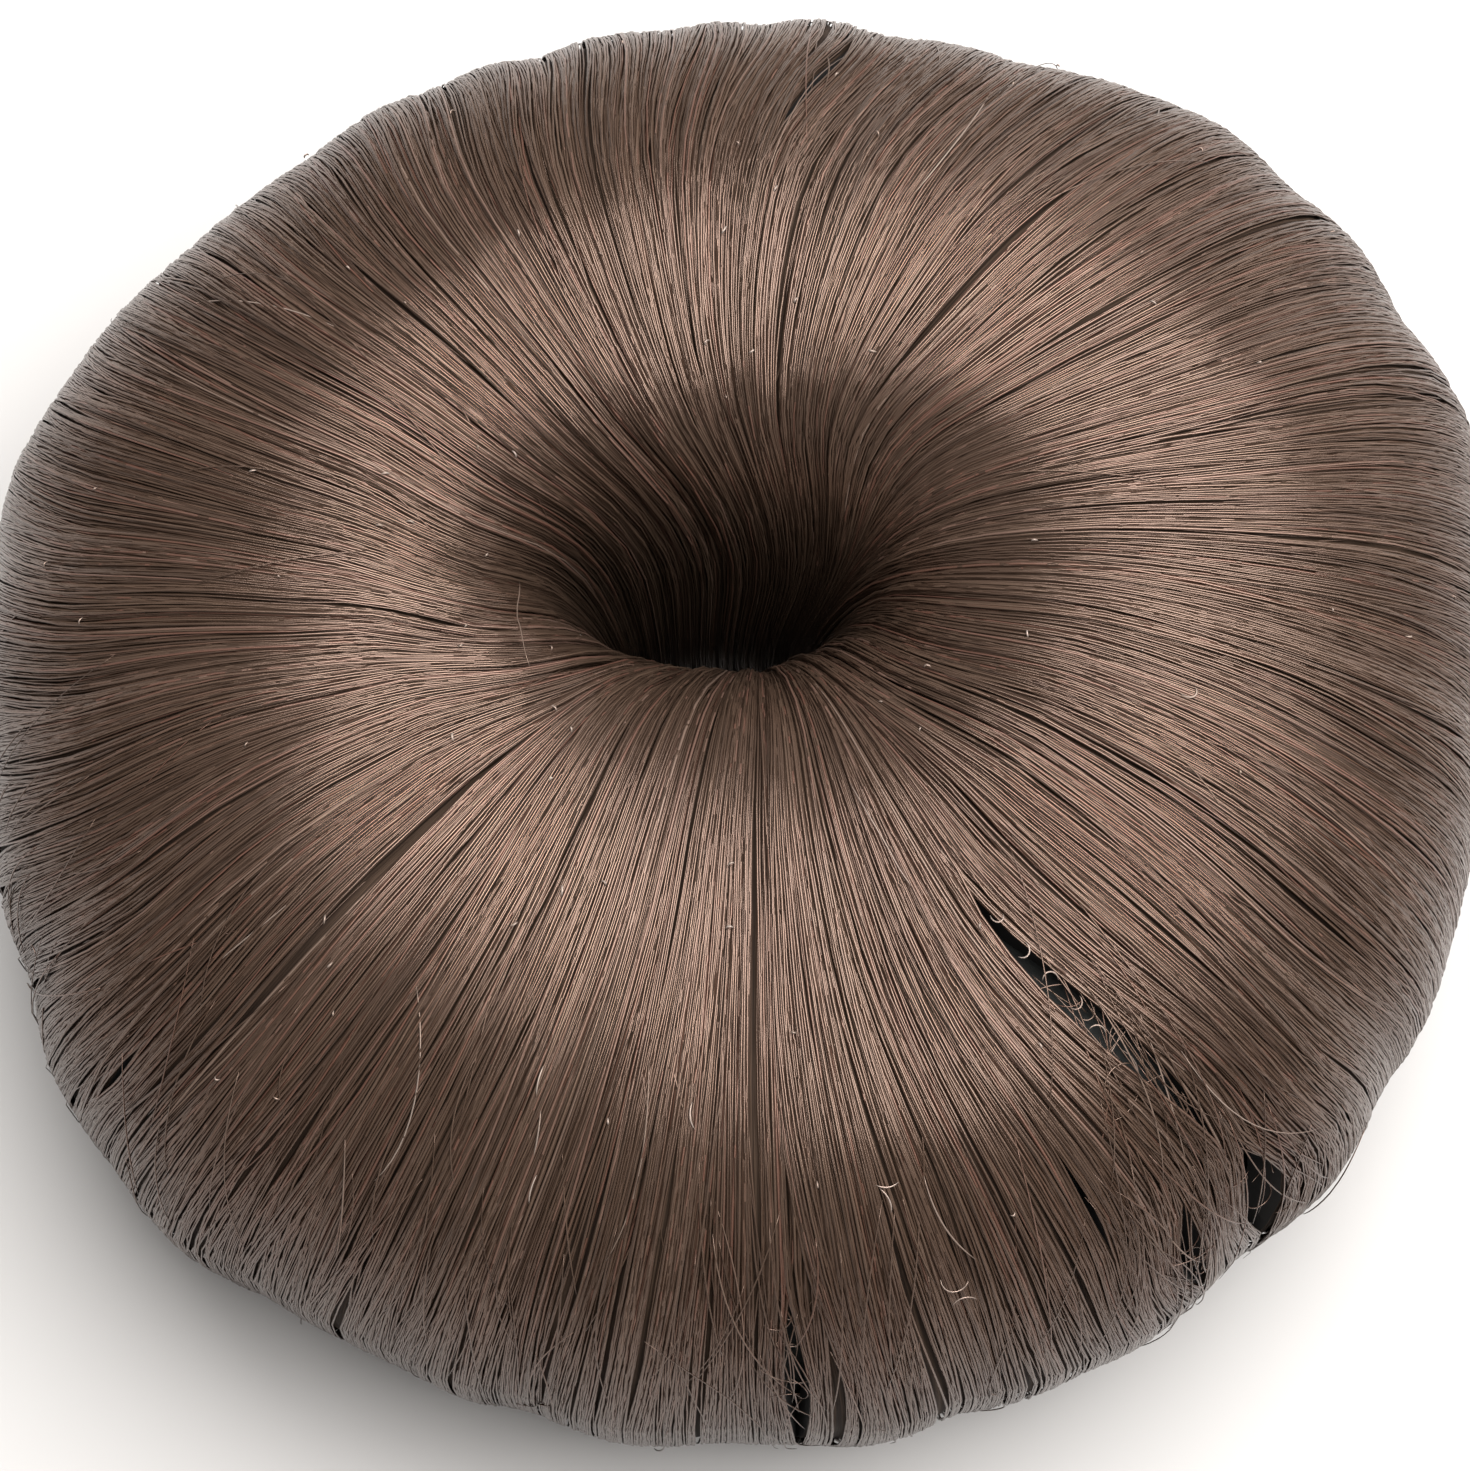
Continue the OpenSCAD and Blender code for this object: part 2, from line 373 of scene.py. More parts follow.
def tubes(name, paths, widths, tones, angle):
    """Closed tubes of three sides along rows of points, with a width and a section angle for each point."""
    count, steps, _ = paths.shape
    along = np.gradient(paths, axis=1)
    along /= np.linalg.norm(along, axis=-1, keepdims=True) + TINY
    out = paths[..., :2] - RIM_MIDDLE
    eye = RIM_MIDDLE + out / np.linalg.norm(out, axis=-1, keepdims=True) * EYE_RADIUS
    side = np.cross(along, np.concatenate([paths[..., :2] - eye, paths[..., 2:] - EYE_Z], -1))
    side /= np.linalg.norm(side, axis=-1, keepdims=True) + TINY
    up = np.cross(side, along)
    turn = np.radians([-90, 30, 150])[:, None]
    ring = paths[:, :, None] + widths[..., None, None] / 2 * (
        np.cos(turn) * side[:, :, None] + np.sin(turn) * up[:, :, None])
    number = np.arange(count * steps * 3).reshape(count, steps, 3)
    a, b = number[:, :-1], number[:, 1:]
    a_after, b_after = np.roll(a, -1, 2), np.roll(b, -1, 2)
    faces = [np.stack(corners, -1).reshape(-1, 3) for corners in ((a, b_after, a_after), (a, b, b_after))]
    caps = [number[:, 0], number[:, -1, [0, 2, 1]]]
    uv = np.zeros((count, steps, 3, 2))
    uv[..., 0] = tones[:, None, None]
    uv[..., 1] = along_share(angle)[..., None]
    return new_piece(name, ring.reshape(-1, 3), np.concatenate(faces + caps), uv.reshape(-1, 2))


# Materials

class Look:
    """A material in the making: a shader with some of its sockets set, and the nodes that feed the others."""

    # The colour sockets of a mix node
    MIX_A, MIX_B, MIX_RESULT = 6, 7, 2

    def __init__(self, name, sockets):
        self.material = bpy.data.materials.new(name)
        self.material.use_nodes = True
        self.nodes = self.material.node_tree.nodes
        self.link = self.material.node_tree.links.new
        self.shader = self.nodes["Principled BSDF"]
        for socket, value in sockets.items():
            self.shader.inputs[socket].default_value = value

    def place(self):
        """The place on a piece that its layer holds."""
        node = self.nodes.new("ShaderNodeUVMap")
        node.uv_map = UV_LAYER
        return node.outputs["UV"]

    def noise(self, scale, detail, rough=0.5):
        """Noise over the piece, with a scale for each direction."""
        mapping = self.nodes.new("ShaderNodeMapping")
        mapping.inputs["Scale"].default_value = scale
        self.link(self.place(), mapping.inputs["Vector"])
        node = self.nodes.new("ShaderNodeTexNoise")
        node.inputs["Scale"].default_value = 1
        node.inputs["Detail"].default_value = detail
        node.inputs["Roughness"].default_value = rough
        self.link(mapping.outputs["Vector"], node.inputs["Vector"])
        return node.outputs["Fac"]

    def ramp(self, value, stops):
        """The colour of a value, from (position, colour) stops."""
        node = self.nodes.new("ShaderNodeValToRGB")
        while len(node.color_ramp.elements) < len(stops):
            node.color_ramp.elements.new(1)
        for element, (position, colour) in zip(node.color_ramp.elements, stops):
            element.position = position
            element.color = (*colour, 1)
        self.link(value, node.inputs["Fac"])
        return node.outputs["Color"]

    def product(self, a, b):
        """One colour multiplied by another."""
        node = self.nodes.new("ShaderNodeMix")
        node.data_type = "RGBA"
        node.blend_type = "MULTIPLY"
        node.inputs["Factor"].default_value = 1
        self.link(a, node.inputs[self.MIX_A])
        self.link(b, node.inputs[self.MIX_B])
        return node.outputs[self.MIX_RESULT]

    def coloured(self, colour):
        """The finished material, with a colour from its nodes."""
        self.link(colour, self.shader.inputs["Base Color"])
        return self.material


# A hair's colour by its tone: dark to mid brown, then the reddish hairs, and last the pale hairs and the lint
TONE_STOPS = [
    (0.00, (0.011, 0.0068, 0.0046)),
    (0.25, (0.021, 0.0128, 0.0088)),
    (0.50, (0.031, 0.0190, 0.0132)),
    (0.75, (0.044, 0.0280, 0.0195)),
    (0.86, (0.056, 0.0265, 0.0190)),
    (0.93, (0.085, 0.0600, 0.0470)),
    (1.00, (0.200, 0.1650, 0.1450)),
]
# Painted shade along the hair's length: dark down in the hole, full over the crest, and duller and redder
# under the rim
ALONG_SHADE_STOPS = [
    (0.20, (0.24, 0.26, 0.24)),
    (0.29, (0.46, 0.47, 0.45)),
    (0.37, (0.90, 0.90, 0.89)),
    (0.46, (1.0, 1.0, 1.0)),
    (0.62, (0.95, 0.93, 0.90)),
    (0.70, (0.62, 0.56, 0.52)),
    (0.80, (0.45, 0.36, 0.32)),
]
PATCH_STOPS = [(0.25, (0.78, 0.78, 0.78)), (0.75, (1.0, 1.0, 1.0))]
# The under layer's streaks are the hair's own tone, and its darkness is painted shade between the strands
UNDER_SHADE_STOPS = [(0.34, (0.002, 0.0014, 0.001)), (0.5, (0.014, 0.0088, 0.006)), (0.66, (0.042, 0.027, 0.018))]
CORE_STOPS = [(0.3, (0.002, 0.0024, 0.002)), (0.7, (0.007, 0.008, 0.0065))]
TAPE_STOPS = [(0.3, (0.035, 0.011, 0.008)), (0.55, (0.085, 0.028, 0.019)), (0.8, (0.13, 0.055, 0.04))]
# The glint of the synthetic hair
GLINT = {"IOR": 1.55, "Specular Tint": (1.0, 0.695, 0.555, 1)}


def strand_material():
    """Glossy hair: each strand has its own tone, over faint patches, times painted shade along its length
    that darkens it in the hole and under the rim.
    """
    look = Look("hair_strands", {"Roughness": 0.25, "Specular IOR Level": 1.0, **GLINT})
    apart = look.nodes.new("ShaderNodeSeparateXYZ")
    look.link(look.place(), apart.inputs["Vector"])
    own = look.ramp(apart.outputs["X"], TONE_STOPS)
    patch = look.ramp(look.noise((300, 20, 1), 2), PATCH_STOPS)
    # Painted shade: the hair darkens down in the hole and under the rim
    along = look.ramp(apart.outputs["Y"], ALONG_SHADE_STOPS)
    return look.coloured(look.product(look.product(own, patch), along))


def under_hair_material():
    """Dull hair under the strands, streaked along its length; its colour is painted darker than the strands'
    as shade between them.
    """
    look = Look("under_hair", {"Roughness": 0.7, "Specular IOR Level": 0.2, **GLINT})
    streaks = look.noise((1700, 7, 1), 3, 0.6)
    bump = look.nodes.new("ShaderNodeBump")
    bump.inputs["Strength"].default_value = 0.8
    bump.inputs["Distance"].default_value = 0.2 * MM
    look.link(streaks, bump.inputs["Height"])
    look.link(bump.outputs["Normal"], look.shader.inputs["Normal"])
    return look.coloured(look.ramp(streaks, UNDER_SHADE_STOPS))


def core_material():
    """The core's dark knitted cover."""
    look = Look("core_cover", {"Roughness": 0.9, "Sheen Weight": 0.04, "Sheen Roughness": 0.5})
    return look.coloured(look.ramp(look.noise((700, 260, 1), 3), CORE_STOPS))


def tape_material():
    """Red-brown woven tape, for the band and its piping."""
    look = Look("woven_tape", {"Roughness": 0.8, "Sheen Weight": 0.2})
    return look.coloured(look.ramp(look.noise((1800, 160, 1), 2), TAPE_STOPS))


# The wall of hair under the strands

WALL_COLUMNS, WALL_ROWS = 360, 40
# How far the wall's outer face lies from the skin, its inner face from the lining, and its hems from theirs
OUTER_LIFT, INNER_LIFT, HEM_DEGREES = -0.36, 0.15, 1.0
# The two lips of a parting lie this far to each side of it, in degrees, and other columns keep farther off
LIP_DEGREES, LIP_CLEAR = 1e-5, 0.3
# A parting narrower than this, in millimetres, is closed
CLOSED = 1e-6
# Points nearer than the first are joined, and edges shorter than the second are dissolved, in metres
JOIN, SLIVER = 2e-7, 1e-7
# The ridges fade out where a degree round the ring is shorter than this, in millimetres
RIDGE_DEGREE = 0.5


def ridges(at):
    """Heights of the wall's ridges by azimuth: slow ones whose spacing drifts, and quick ones."""
    return 0.08 * np.sin(at * 3.1 + 2 * np.sin(at * 0.37)) + 0.07 * np.sin(at * 7.3)


def wall_columns():
    """Crest azimuths of the wall's columns, each with the (parting, side) whose lip it is, or with None."""
    plain = [k * 360 / WALL_COLUMNS for k in range(WALL_COLUMNS)]
    columns = [(crest, None) for crest in plain if all(abs(crest - row[0]) > LIP_CLEAR for row in PARTINGS)]
    columns += [(row[0] + side * LIP_DEGREES, (row, side)) for row in PARTINGS for side in (-1, 1)]
    return sorted(columns, key=lambda column: column[0])


def wall_faces(columns, angle):
    """The wall's faces, by the numbers of their points, and which of them are the partings' lips."""
    count = len(columns)
    number = np.arange(2 * angle.size).reshape(2, *angle.shape)
    faces, lips = [], []
    for k, (_, lip) in enumerate(columns):
        n = (k + 1) % count
        gap = lip[0] if lip and lip[1] < 0 else None
        for j in range(WALL_ROWS - 1):
            square = (k, j), (n, j), (n, j + 1), (k, j + 1)
            a, b, c, d = (number[0][corner] for corner in square)
            e, f, g, h = (number[1][corner] for corner in square)
            if gap is None:
                faces += [(a, d, c, b), (e, f, g, h)]
            elif opening(gap, angle[k, j:j + 2]).max() > CLOSED:
                lips += [len(faces), len(faces) + 1]
                faces += [(a, d, h, e), (b, f, g, c)]
        if gap is None:
            faces.append((number[0, k, 0], number[0, n, 0], number[1, n, 0], number[1, k, 0]))
            faces.append((number[0, k, -1], number[1, k, -1], number[1, n, -1], number[0, n, -1]))
    return faces, lips


def wall(name):
    """The hollow wall of the hair, closed, with its partings open. Its second material, a near-black painted
    shade, is for the lips.
    """
    columns = wall_columns()
    at = np.array([crest for crest, _ in columns])[:, None]
    first, last = np.full(len(at), HOLE_HEM + HEM_DEGREES), np.full(len(at), RIM_HEM - HEM_DEGREES)
    angle = pace.points(first, last, WALL_ROWS)
    side_of = {row: np.sign((at - row[0] + 180) % 360 - 180) for row in PARTINGS}
    azimuth = parted(at, angle, 0, side_of)
    outer = skin.at(azimuth, angle, OUTER_LIFT + ridges(at) * rising(across_mm(angle), 0, RIDGE_DEGREE))
    inner = lining.at(azimuth, angle, INNER_LIFT)
    faces, lips = wall_faces(columns, angle)
    uv = np.zeros((2, *angle.shape, 2))
    uv[..., 0] = at / 360
    uv[..., 1] = along_share(angle)
    points = np.concatenate([outer.reshape(-1, 3), inner.reshape(-1, 3)])
    piece = new_piece(name, points, faces, uv.reshape(-1, 2))
    slots = np.zeros(len(faces), np.int32)
    slots[lips] = 1
    piece.data.polygons.foreach_set("material_index", slots)
    piece.data.polygons.foreach_set("use_smooth", slots == 0)
    cleaned = bmesh.new()
    cleaned.from_mesh(piece.data)
    bmesh.ops.remove_doubles(cleaned, verts=cleaned.verts, dist=JOIN)
    bmesh.ops.dissolve_degenerate(cleaned, edges=cleaned.edges, dist=SLIVER)
    cleaned.to_mesh(piece.data)
    cleaned.free()
    return piece


hair_bed = wall("hair_bed")
hair_bed.data.materials.append(under_hair_material())
# The partings' lips are near black: painted shade inside each parting
hair_bed.data.materials.append(
    Look("parting_lip_shade", {"Base Color": (0.005, 0.0035, 0.0025, 1), "Roughness": 0.85}).material)
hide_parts("hair_cover")

# The strands

# How a clump narrows and widens along its hairs: waves in a full turn of the section, and amount
PINCHES = [(2.2, 0.25), (4.6, 0.15)]
# A clump sways in three waves: the slowest has this many in a full turn, and the others have one and two more
SWAY_WAVES = 1.3
# How round a clump's back is, and how much higher or lower each hair lies
CLUMP_ROUND, HAIR_LIFTS = 0.12, (-0.07, 0.07)
# Each hair drifts aside and bobs up and down: the degrees that its slowest wave spans, and how far it goes
DRIFT, BOB = (300, 0.25), (260, 0.035)
# A wedge of hair in the funnel lifts its clumps most at one section angle, and less away from it
WEDGE_AT, WEDGE_REACH = 48, 22
# The share of the hairs that lie loose, and how much looser
LOOSE_SHARE, LOOSE = 0.10, 3.0
# Hairs lie calmer from a section angle on, fully so some degrees later: by how much, and the least share of
# a lift that is left
CALM_FROM, CALM_OVER, CALM, FLATTEST = 130, 40, 0.4, 0.35
# How deep a hair's start and its end sink among the others, each over how many degrees
START_DEPTH, START_OVER, END_DEPTH, END_OVER = 0.5, 14, 0.3, 8
# A hair's width, and how thin it is where it starts and in the throat, each over how many degrees
WIDTHS = (0.12, 0.19)
START_THIN, THIN_OVER, THROAT_THIN, THROAT_OVER = 0.45, 38.5, 0.5, 45
# Tones, as TONE_STOPS has them: their spread and range, and the shares and tones of reddish and pale hairs
TONE_SPREAD, TONE_RANGE = 0.15, (0.02, 0.78)
RED_SHARE, RED_TONES = 0.10, (0.83, 0.90)
PALE_SHARE, PALE_TONES = 0.012, (0.88, 0.93)


class Clumps:
    """The clumps in which the hairs lie. Each has its own place, width, height, tone and sway."""

    COUNT, WEDGES = 460, 62
    # How far a clump strays from its even place and how wide it is, as shares of the clumps' spacing
    ASTRAY, WIDTHS = (-0.35, 0.35), (0.7, 1.6)
    LIFTS, WEDGE_LIFTS = (-0.11, 0.09), (-0.08, 0.45)
    TONE_SPREAD, SWAY_SPREAD = 0.05, 0.30
    # The section angles at which the hairs' fanning out is measured, and the least and the most that counts
    FAN_AT, FAN_RANGE = (60, 120, 165), (0.6, 1.8)

    def __init__(self, random):
        self.at = (np.arange(self.COUNT) + random.uniform(*self.ASTRAY, self.COUNT)) * 360 / self.COUNT
        self.wide = random.uniform(*self.WIDTHS, self.COUNT) * 360 / self.COUNT
        self.lift = random.uniform(*self.LIFTS, self.COUNT)
        self.tone = random.normal(0, self.TONE_SPREAD, self.COUNT)
        # Broad wedges of hair in the funnel, some raised and some sunk
        edges = np.sort(random.uniform(0, 360, self.WEDGES))
        self.wedge = random.uniform(*self.WEDGE_LIFTS, self.WEDGES + 1)[np.searchsorted(edges, self.at)]
        self.phase = random.uniform(0, 360, (self.COUNT, 3))
        self.sway = random.normal(0, self.SWAY_SPREAD, (self.COUNT, 3))
        # More hairs lie where they fan out more
        fan = np.mean([np.gradient(self.at + lean(self.at, angle), self.at) for angle in self.FAN_AT], axis=0)
        fan = np.clip(fan, *self.FAN_RANGE)
        self.share = fan / fan.sum()


def strands(random, clumps, name, count, steps, pieces, starts, ends):
    """Hairs in clumps that pinch and spread, from starts in or near the hole to ends under the rim."""
    clump = np.sort(random.choice(clumps.COUNT, count, p=clumps.share))
    first = random.uniform(*starts, count)
    last = random.uniform(*ends, count)
    angle = pace.points(first, last, steps)
    first, last = first[:, None], last[:, None]
    beside = random.uniform(-1, 1, count)[:, None]
    phases = [clumps.phase[clump, k:k + 1] for k in range(3)]
    pinch = 1.0
    for (turns, amount), phase in zip(PINCHES, phases):
        pinch = pinch + amount * np.sin(np.radians(angle * turns + phase))
    sway = sum(clumps.sway[clump, k:k + 1] * np.sin(np.radians(angle * (SWAY_WAVES + k) + phases[k]))
               for k in range(3))
    calm = 1 - CALM * rising(angle, CALM_FROM, CALM_OVER)
    loose = np.where(random.random(count) < LOOSE_SHARE, LOOSE, 1.0)[:, None] * calm
    aside = beside * clumps.wide[clump, None]
    offset = aside * (pinch - 1) + sway + waves(random, angle, *DRIFT) * loose
    lift = clumps.lift[clump, None] + CLUMP_ROUND * (1 - beside ** 2)
    lift = lift + random.uniform(*HAIR_LIFTS, (count, 1)) + waves(random, angle, *BOB) * loose
    lift = lift * (2 * calm - 1).clip(FLATTEST, 1)
    lift = lift + clumps.wedge[clump, None] * np.exp(-((angle - WEDGE_AT) / WEDGE_REACH) ** 2)
    lift = lift - START_DEPTH * (1 - rising(angle, first, START_OVER))
    lift = lift - END_DEPTH * rising(angle, last - END_OVER, END_OVER)
    azimuth = parted(clumps.at[clump, None] + aside, angle, offset)
    width = random.uniform(*WIDTHS, count)[:, None] * mix(START_THIN, 1, rising(angle, first, THIN_OVER))
    width = width * mix(THROAT_THIN, 1, rising(angle, 0, THROAT_OVER))
    tone = np.clip(0.5 + clumps.tone[clump] + random.normal(0, TONE_SPREAD, count), *TONE_RANGE)
    odd = random.random(count)
    tone = np.where(odd < RED_SHARE, random.uniform(*RED_TONES, count), tone)
    tone = np.where(odd > 1 - PALE_SHARE, random.uniform(*PALE_TONES, count), tone)
    paths = skin.at(azimuth, angle, lift)
    for k in range(pieces):
        own = slice(k * count // pieces, (k + 1) * count // pieces)
        piece = tubes(f"{name}_{k + 1}", paths[own], width[own], tone[own], angle[own])
        piece.data.materials.append(strand_look)


strand_look = strand_material()
random = np.random.default_rng(11)
clumps = Clumps(random)
strands(random, clumps, "long_hair", count=3150, steps=31, pieces=3, starts=(-15, 50), ends=(218, 252))
strands(random, clumps, "outer_hair", count=2560, steps=19, pieces=2, starts=(58, 105), ends=(200, 232))


# Stray hairs, curled wisps and lint

# How much of its width a short hair loses at its tips
TIP_TAPER = 0.7


def curls(name, azimuth, angle, lift, length, bend, heading, rise, width, tones, steps=14):
    """Short hairs on the skin: each lies at a place, sets off on a heading, bends evenly and rises midway."""
    t = np.linspace(-0.5, 0.5, steps)
    turn = np.radians(heading[:, None] + bend[:, None] * t)
    step = length[:, None] / (steps - 1)
    x, y = np.cumsum(np.cos(turn) * step, 1), np.cumsum(np.sin(turn) * step, 1)
    x, y = x - x.mean(1, keepdims=True), y - y.mean(1, keepdims=True)
    lifts = lift[:, None] + rise[:, None] * (1 - 4 * t * t)
    angles = angle[:, None] + x / pace.along_mm(angle)[:, None]
    path = skin.at(azimuth[:, None] + y / across_mm(angle)[:, None], angles, lifts)
    piece = tubes(name, path, width[:, None] * (1 - TIP_TAPER * np.abs(2 * t) ** 3), tones, angles)
    piece.data.materials.append(strand_look)
    return piece


def spots(random, rows):
    """Random azimuths and section angles about the rows of a table."""
    return np.concatenate([
        np.stack([random.normal(azimuth, azimuth_spread, count), random.normal(angle, angle_spread, count)])
        for count, azimuth, angle, azimuth_spread, angle_spread in rows], 1)


WISPS = [
    # count, azimuth, section angle, spread of azimuth, spread of section angle
    (6, 304.0, 115, 1.0, 6),
    (16, 307.0, 130, 1.6, 8),
    (14, 305.5, 165, 1.2, 7),
    (13, 311.5, 163, 2.0, 7),
    (16, 273.5, 160, 1.0, 12),
    (5, 202.0, 174, 4.0, 10),
]
STRAYS = [
    # count, azimuth, section angle, spread of azimuth, spread of section angle
    (7, 303.5, 114, 0.7, 7),
    (22, 307.0, 132, 2.0, 7),
    (18, 305.0, 165, 1.6, 8),
    (9, 312.0, 160, 2.2, 7),
    (10, 273.5, 160, 1.4, 10),
    (8, 81.0, 120, 1.4, 10),
    (26, 202.0, 165, 9.0, 12),
    (70, 180, 110, 110, 36),
    (110, 262, 150, 38, 20),
]
# One long light hair, and light ends of hair that lie singly
MARKS = [
    # azimuth, section angle, length, bend, heading, tone
    (203.5, 59, 8.2, -14, 60, 0.93),
    (282.6, 127, 1.3, 40, 80, 1.0),
    (282.4, 129, 1.5, -70, 20, 1.0),
    (286.3, 146, 2.2, 150, 60, 1.0),
    (286.9, 149, 1.8, -130, 100, 1.0),
    (340.0, 99, 1.5, 170, 40, 0.97),
    (266.0, 116, 1.4, 60, 5, 1.0),
    (251.5, 115, 1.5, 20, 0, 1.0),
    (252.5, 122, 2.4, -15, 5, 0.97),
    (253.0, 130, 1.6, 25, 355, 1.0),
    (301.3, 100, 1.2, 190, 60, 0.98),
    (302.3, 105, 1.3, 170, 110, 1.0),
    (303.4, 109, 1.4, -180, 75, 0.98),
    (304.4, 114, 1.2, 160, 95, 0.96),
    (305.0, 118, 1.3, -150, 60, 0.98),
    (320.5, 161, 1.6, 40, 15, 0.95),
]
# Specks of lint among them: very short pieces of light hair
SPECKS = 80
SPECK_SPREAD = [(SPECKS, 180, 100, 100, 32)]
# A mark longer than the first is a loose hair that stands up, and one shorter than the second is a speck
LOOSE_MARK, SPECK_MARK = 5, 1

random = np.random.default_rng(5)
azimuth, angle = spots(random, WISPS)
count = len(azimuth)
wisps = curls(
    "curled_wisps", azimuth, angle,
    lift=random.uniform(-0.7, 0.2, count),
    length=random.uniform(1.2, 3.4, count),
    bend=random.normal(0, 130, count),
    heading=random.uniform(0, 360, count),
    rise=random.uniform(-0.1, 0.4, count),
    width=random.uniform(0.07, 0.10, count),
    tones=random.uniform(0.6, 1.0, count))

azimuth, angle = spots(random, STRAYS)
count = len(azimuth)
strays = curls(
    "stray_hairs", azimuth, angle,
    lift=random.uniform(-0.1, 0.3, count),
    length=random.uniform(5, 15, count),
    bend=random.normal(0, 26, count),
    heading=random.normal(0, 12, count),
    rise=random.uniform(0.0, 0.25, count),
    width=random.uniform(0.08, 0.12, count),
    tones=random.uniform(0.3, 0.97, count))

azimuth, angle = spots(random, SPECK_SPREAD)
specks = np.stack([
    azimuth,
    angle,
    random.uniform(0.25, 0.6, SPECKS),
    random.normal(0, 60, SPECKS),
    random.uniform(0, 360, SPECKS),
    random.uniform(0.94, 1.0, SPECKS)], 1)
azimuth, angle, length, bend, heading, tone = np.concatenate([MARKS, specks]).T
marks = curls(
    "marks_and_lint", azimuth, angle,
    lift=np.where(length > LOOSE_MARK, 1.0, 0.25),
    length=length,
    bend=bend,
    heading=heading,
    rise=np.full(len(length), 0.15),
    width=np.where(length < SPECK_MARK, 0.13, 0.10),
    tones=tone,
    steps=9)

# The padded core, the woven band under it and the twisted piping: round rings about one axis

RING_AXIS = sum(box_mm("core_ring"))[:2] / 2


def met(tree, start, way):
    """Where a ray in the plane of the axis and +X meets a node, as radius and height, or None."""
    origin = Vector((RING_AXIS[0] + start[0], RING_AXIS[1], start[1]))
    at = tree.ray_cast(origin, Vector((way[0], 0, way[1])))[0]
    return at and np.array([at.x - RING_AXIS[0], at.z])


def ring_piece(name, radius, height):
    """A closed tube round the ring from a grid of radii and heights: columns by rows that both wrap."""
    count, rows = radius.shape
    turn = np.arange(count)[:, None] * FULL_TURN / count
    grid = np.stack([RING_AXIS[0] + radius * np.cos(turn), RING_AXIS[1] + radius * np.sin(turn), height], -1)
    number = np.arange(count * rows).reshape(count, rows)
    after, above = np.roll(number, -1, 0), np.roll(number, -1, 1)
    faces = np.stack([number, after, np.roll(after, -1, 1), above], -1).reshape(-1, 4)
    uv = np.zeros((count, rows, 2))
    uv[..., 0] = np.arange(count)[:, None] / count
    uv[..., 1] = np.arange(rows) / rows
    return new_piece(name, grid.reshape(-1, 3), faces, uv.reshape(-1, 2))


CORE_COLUMNS, CORE_ROWS = 360, 24
# The ribs of the knitted cover, which swap places from row to row, and its clearance inside the CAD core
RIBS, RIB_HEIGHT, CORE_CLEAR = 90, 0.10, 0.14


def padded_core():
    """The core's own section, found by rays from its middle, with ribs."""
    tree, (low, high) = tree_of("core_ring"), box_mm("core_ring")
    middle_z = (low[2] + high[2]) / 2
    inner_r = met(tree, (0, middle_z), (1, 0))[0]
    middle = np.array([(inner_r + (high - low)[0] / 2) / 2, middle_z])
    turns = np.arange(CORE_ROWS) * FULL_TURN / CORE_ROWS
    ways = np.stack([np.cos(turns), np.sin(turns)], -1)
    reach = np.array([np.linalg.norm(met(tree, middle, way) - middle) for way in ways])
    ribs = np.sin(np.arange(CORE_COLUMNS)[:, None] * FULL_TURN * RIBS / CORE_COLUMNS)
    puffed = reach - CORE_CLEAR + RIB_HEIGHT * ribs * np.cos(math.pi * np.arange(CORE_ROWS))
    return ring_piece("core_pad", middle[0] + puffed * ways[:, 0], middle[1] + puffed * ways[:, 1])


core = padded_core()
core.data.materials.append(core_material())
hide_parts("core_ring")

BAND_COLUMNS, BAND_ROWS = 400, 12
# How high the weave stands, how far the band stays inside the CAD band's edges, and the rays that seek those
WEAVE, BAND_CLEAR, BAND_RAYS = 0.05, 0.1, 400


def woven_tape_band():
    """The band between its own top and underside, with the squares of a weave, two columns to a square."""
    tree, (low, high) = tree_of("base_band"), box_mm("base_band")
    over, below = high[2] + 1, low[2] - 1
    tries = np.linspace(1, high[0] - RING_AXIS[0], BAND_RAYS)
    seen = [r for r in tries if met(tree, (r, over), (0, -1)) is not None]
    radii = np.linspace(seen[0] + BAND_CLEAR, seen[-1] - BAND_CLEAR, BAND_ROWS)
    top = np.array([met(tree, (r, over), (0, -1))[1] for r in radii])
    under = np.array([met(tree, (r, below), (0, 1))[1] for r in radii])
    weave = WEAVE * np.where(np.arange(BAND_COLUMNS)[:, None] % 4 < 2, 1, -1)
    weave = weave * np.where(np.arange(BAND_ROWS) % 2, 1, -1)
    radius = np.concatenate([radii + 0 * weave, radii[::-1] + 0 * weave], 1)
    height = np.concatenate([under + 2 * WEAVE + weave, (top - 2 * WEAVE + weave)[:, ::-1]], 1)
    return ring_piece("woven_band", radius, height)


band = woven_tape_band()
tape = tape_material()
band.data.materials.append(tape)
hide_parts("base_band")

PIPING_COLUMNS, PIPING_ROWS = 520, 10
# Twists once round the ring, how full the cord is, and how deep the grooves between its strands are
TWISTS, CORD_FULL, CORD_GROOVE = 74, 0.98, 0.16


def twisted_cord():
    """The piping's cord, laid round its own circle."""
    low, high = box_mm("edge_piping")
    cord_r = (high - low)[2] / 2
    around = np.arange(PIPING_COLUMNS)[:, None] * FULL_TURN / PIPING_COLUMNS
    turn = np.arange(PIPING_ROWS) * FULL_TURN / PIPING_ROWS
    thick = cord_r * (CORD_FULL - CORD_GROOVE * np.abs(np.cos(turn + around * TWISTS / 2)))
    radius = (high - low)[0] / 2 - cord_r + thick * np.cos(turn)
    return ring_piece("twisted_piping", radius, (low + high)[2] / 2 + thick * np.sin(turn))


piping = twisted_cord()
piping.data.materials.append(tape)
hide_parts("edge_piping")

# The studio, in metres: camera, floor, softboxes and surroundings

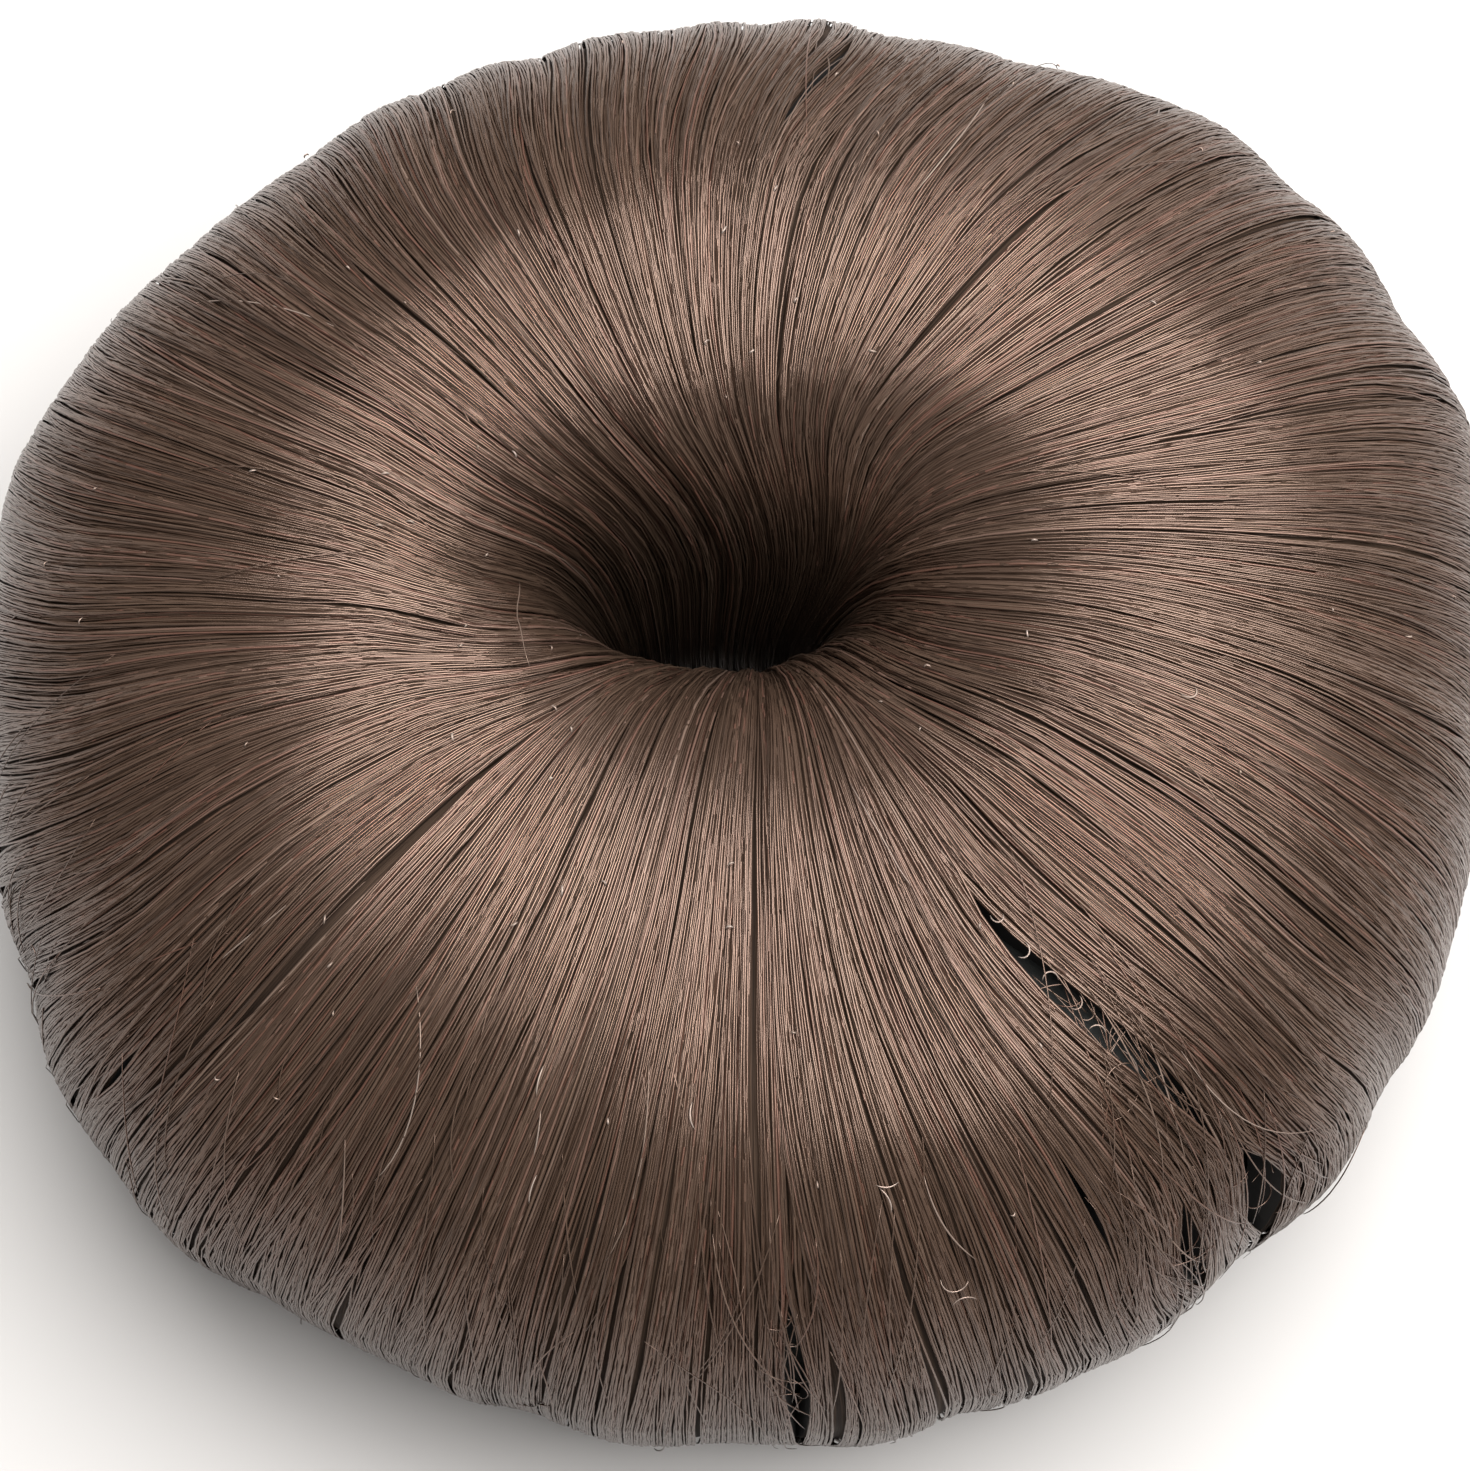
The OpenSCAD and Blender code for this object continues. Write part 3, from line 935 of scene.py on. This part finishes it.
# The lens and the sensor are in millimetres, and the camera's elevation is in degrees
LENS, SENSOR, DISTANCE, ELEVATION = 96.92, 36, 0.250, 70
# Where the camera looks, in millimetres
CAMERA_AIM = (-0.23, -1.37, 15.49)
FLOOR_HALF = 3
RING_CENTRE = (0, 0, 0.02)

camera = bpy.data.objects.new("camera", bpy.data.cameras.new("camera"))
camera.data.sensor_width = SENSOR
camera.data.lens = LENS
camera.data.clip_start = 0.01
back = Vector((0, -math.cos(math.radians(ELEVATION)), math.sin(math.radians(ELEVATION))))
camera.location = Vector(CAMERA_AIM) * MM + back * DISTANCE
camera.rotation_euler = back.to_track_quat("Z", "Y").to_euler()
bpy.context.scene.collection.objects.link(camera)
bpy.context.scene.camera = camera

floor_corners = [(x * FLOOR_HALF, y * FLOOR_HALF, 0) for x, y in ((-1, -1), (1, -1), (1, 1), (-1, 1))]
floor_mesh = bpy.data.meshes.new("floor")
floor_mesh.from_pydata(floor_corners, [], [(0, 1, 2, 3)])
floor_mesh.materials.append(Look("floor", {"Base Color": (0.32, 0.308, 0.298, 1), "Roughness": 0.9}).material)
floor = bpy.data.objects.new("floor", floor_mesh)
bpy.context.scene.collection.objects.link(floor)


def softbox(name, place, size, power):
    """A rectangular lamp that faces the ring."""
    light = bpy.data.lights.new(name, "AREA")
    light.shape = "RECTANGLE"
    light.size, light.size_y = size
    light.energy = power
    lamp = bpy.data.objects.new(name, light)
    lamp.location = place
    lamp.rotation_euler = (Vector(place) - Vector(RING_CENTRE)).to_track_quat("Z", "Y").to_euler()
    bpy.context.scene.collection.objects.link(lamp)


softbox("overhead", place=(0.13, 0.07, 0.50), size=(0.72, 0.54), power=14.3)
softbox("beside", place=(0.52, 0.18, 0.27), size=(0.40, 0.35), power=1.3)
world = bpy.data.worlds.new("studio")
world.use_nodes = True
world.node_tree.nodes["Background"].inputs["Color"].default_value = (1.0, 0.99, 0.98, 1)
world.node_tree.nodes["Background"].inputs["Strength"].default_value = 0.36
bpy.context.scene.world = world
bpy.context.scene.view_settings.view_transform = "Standard"
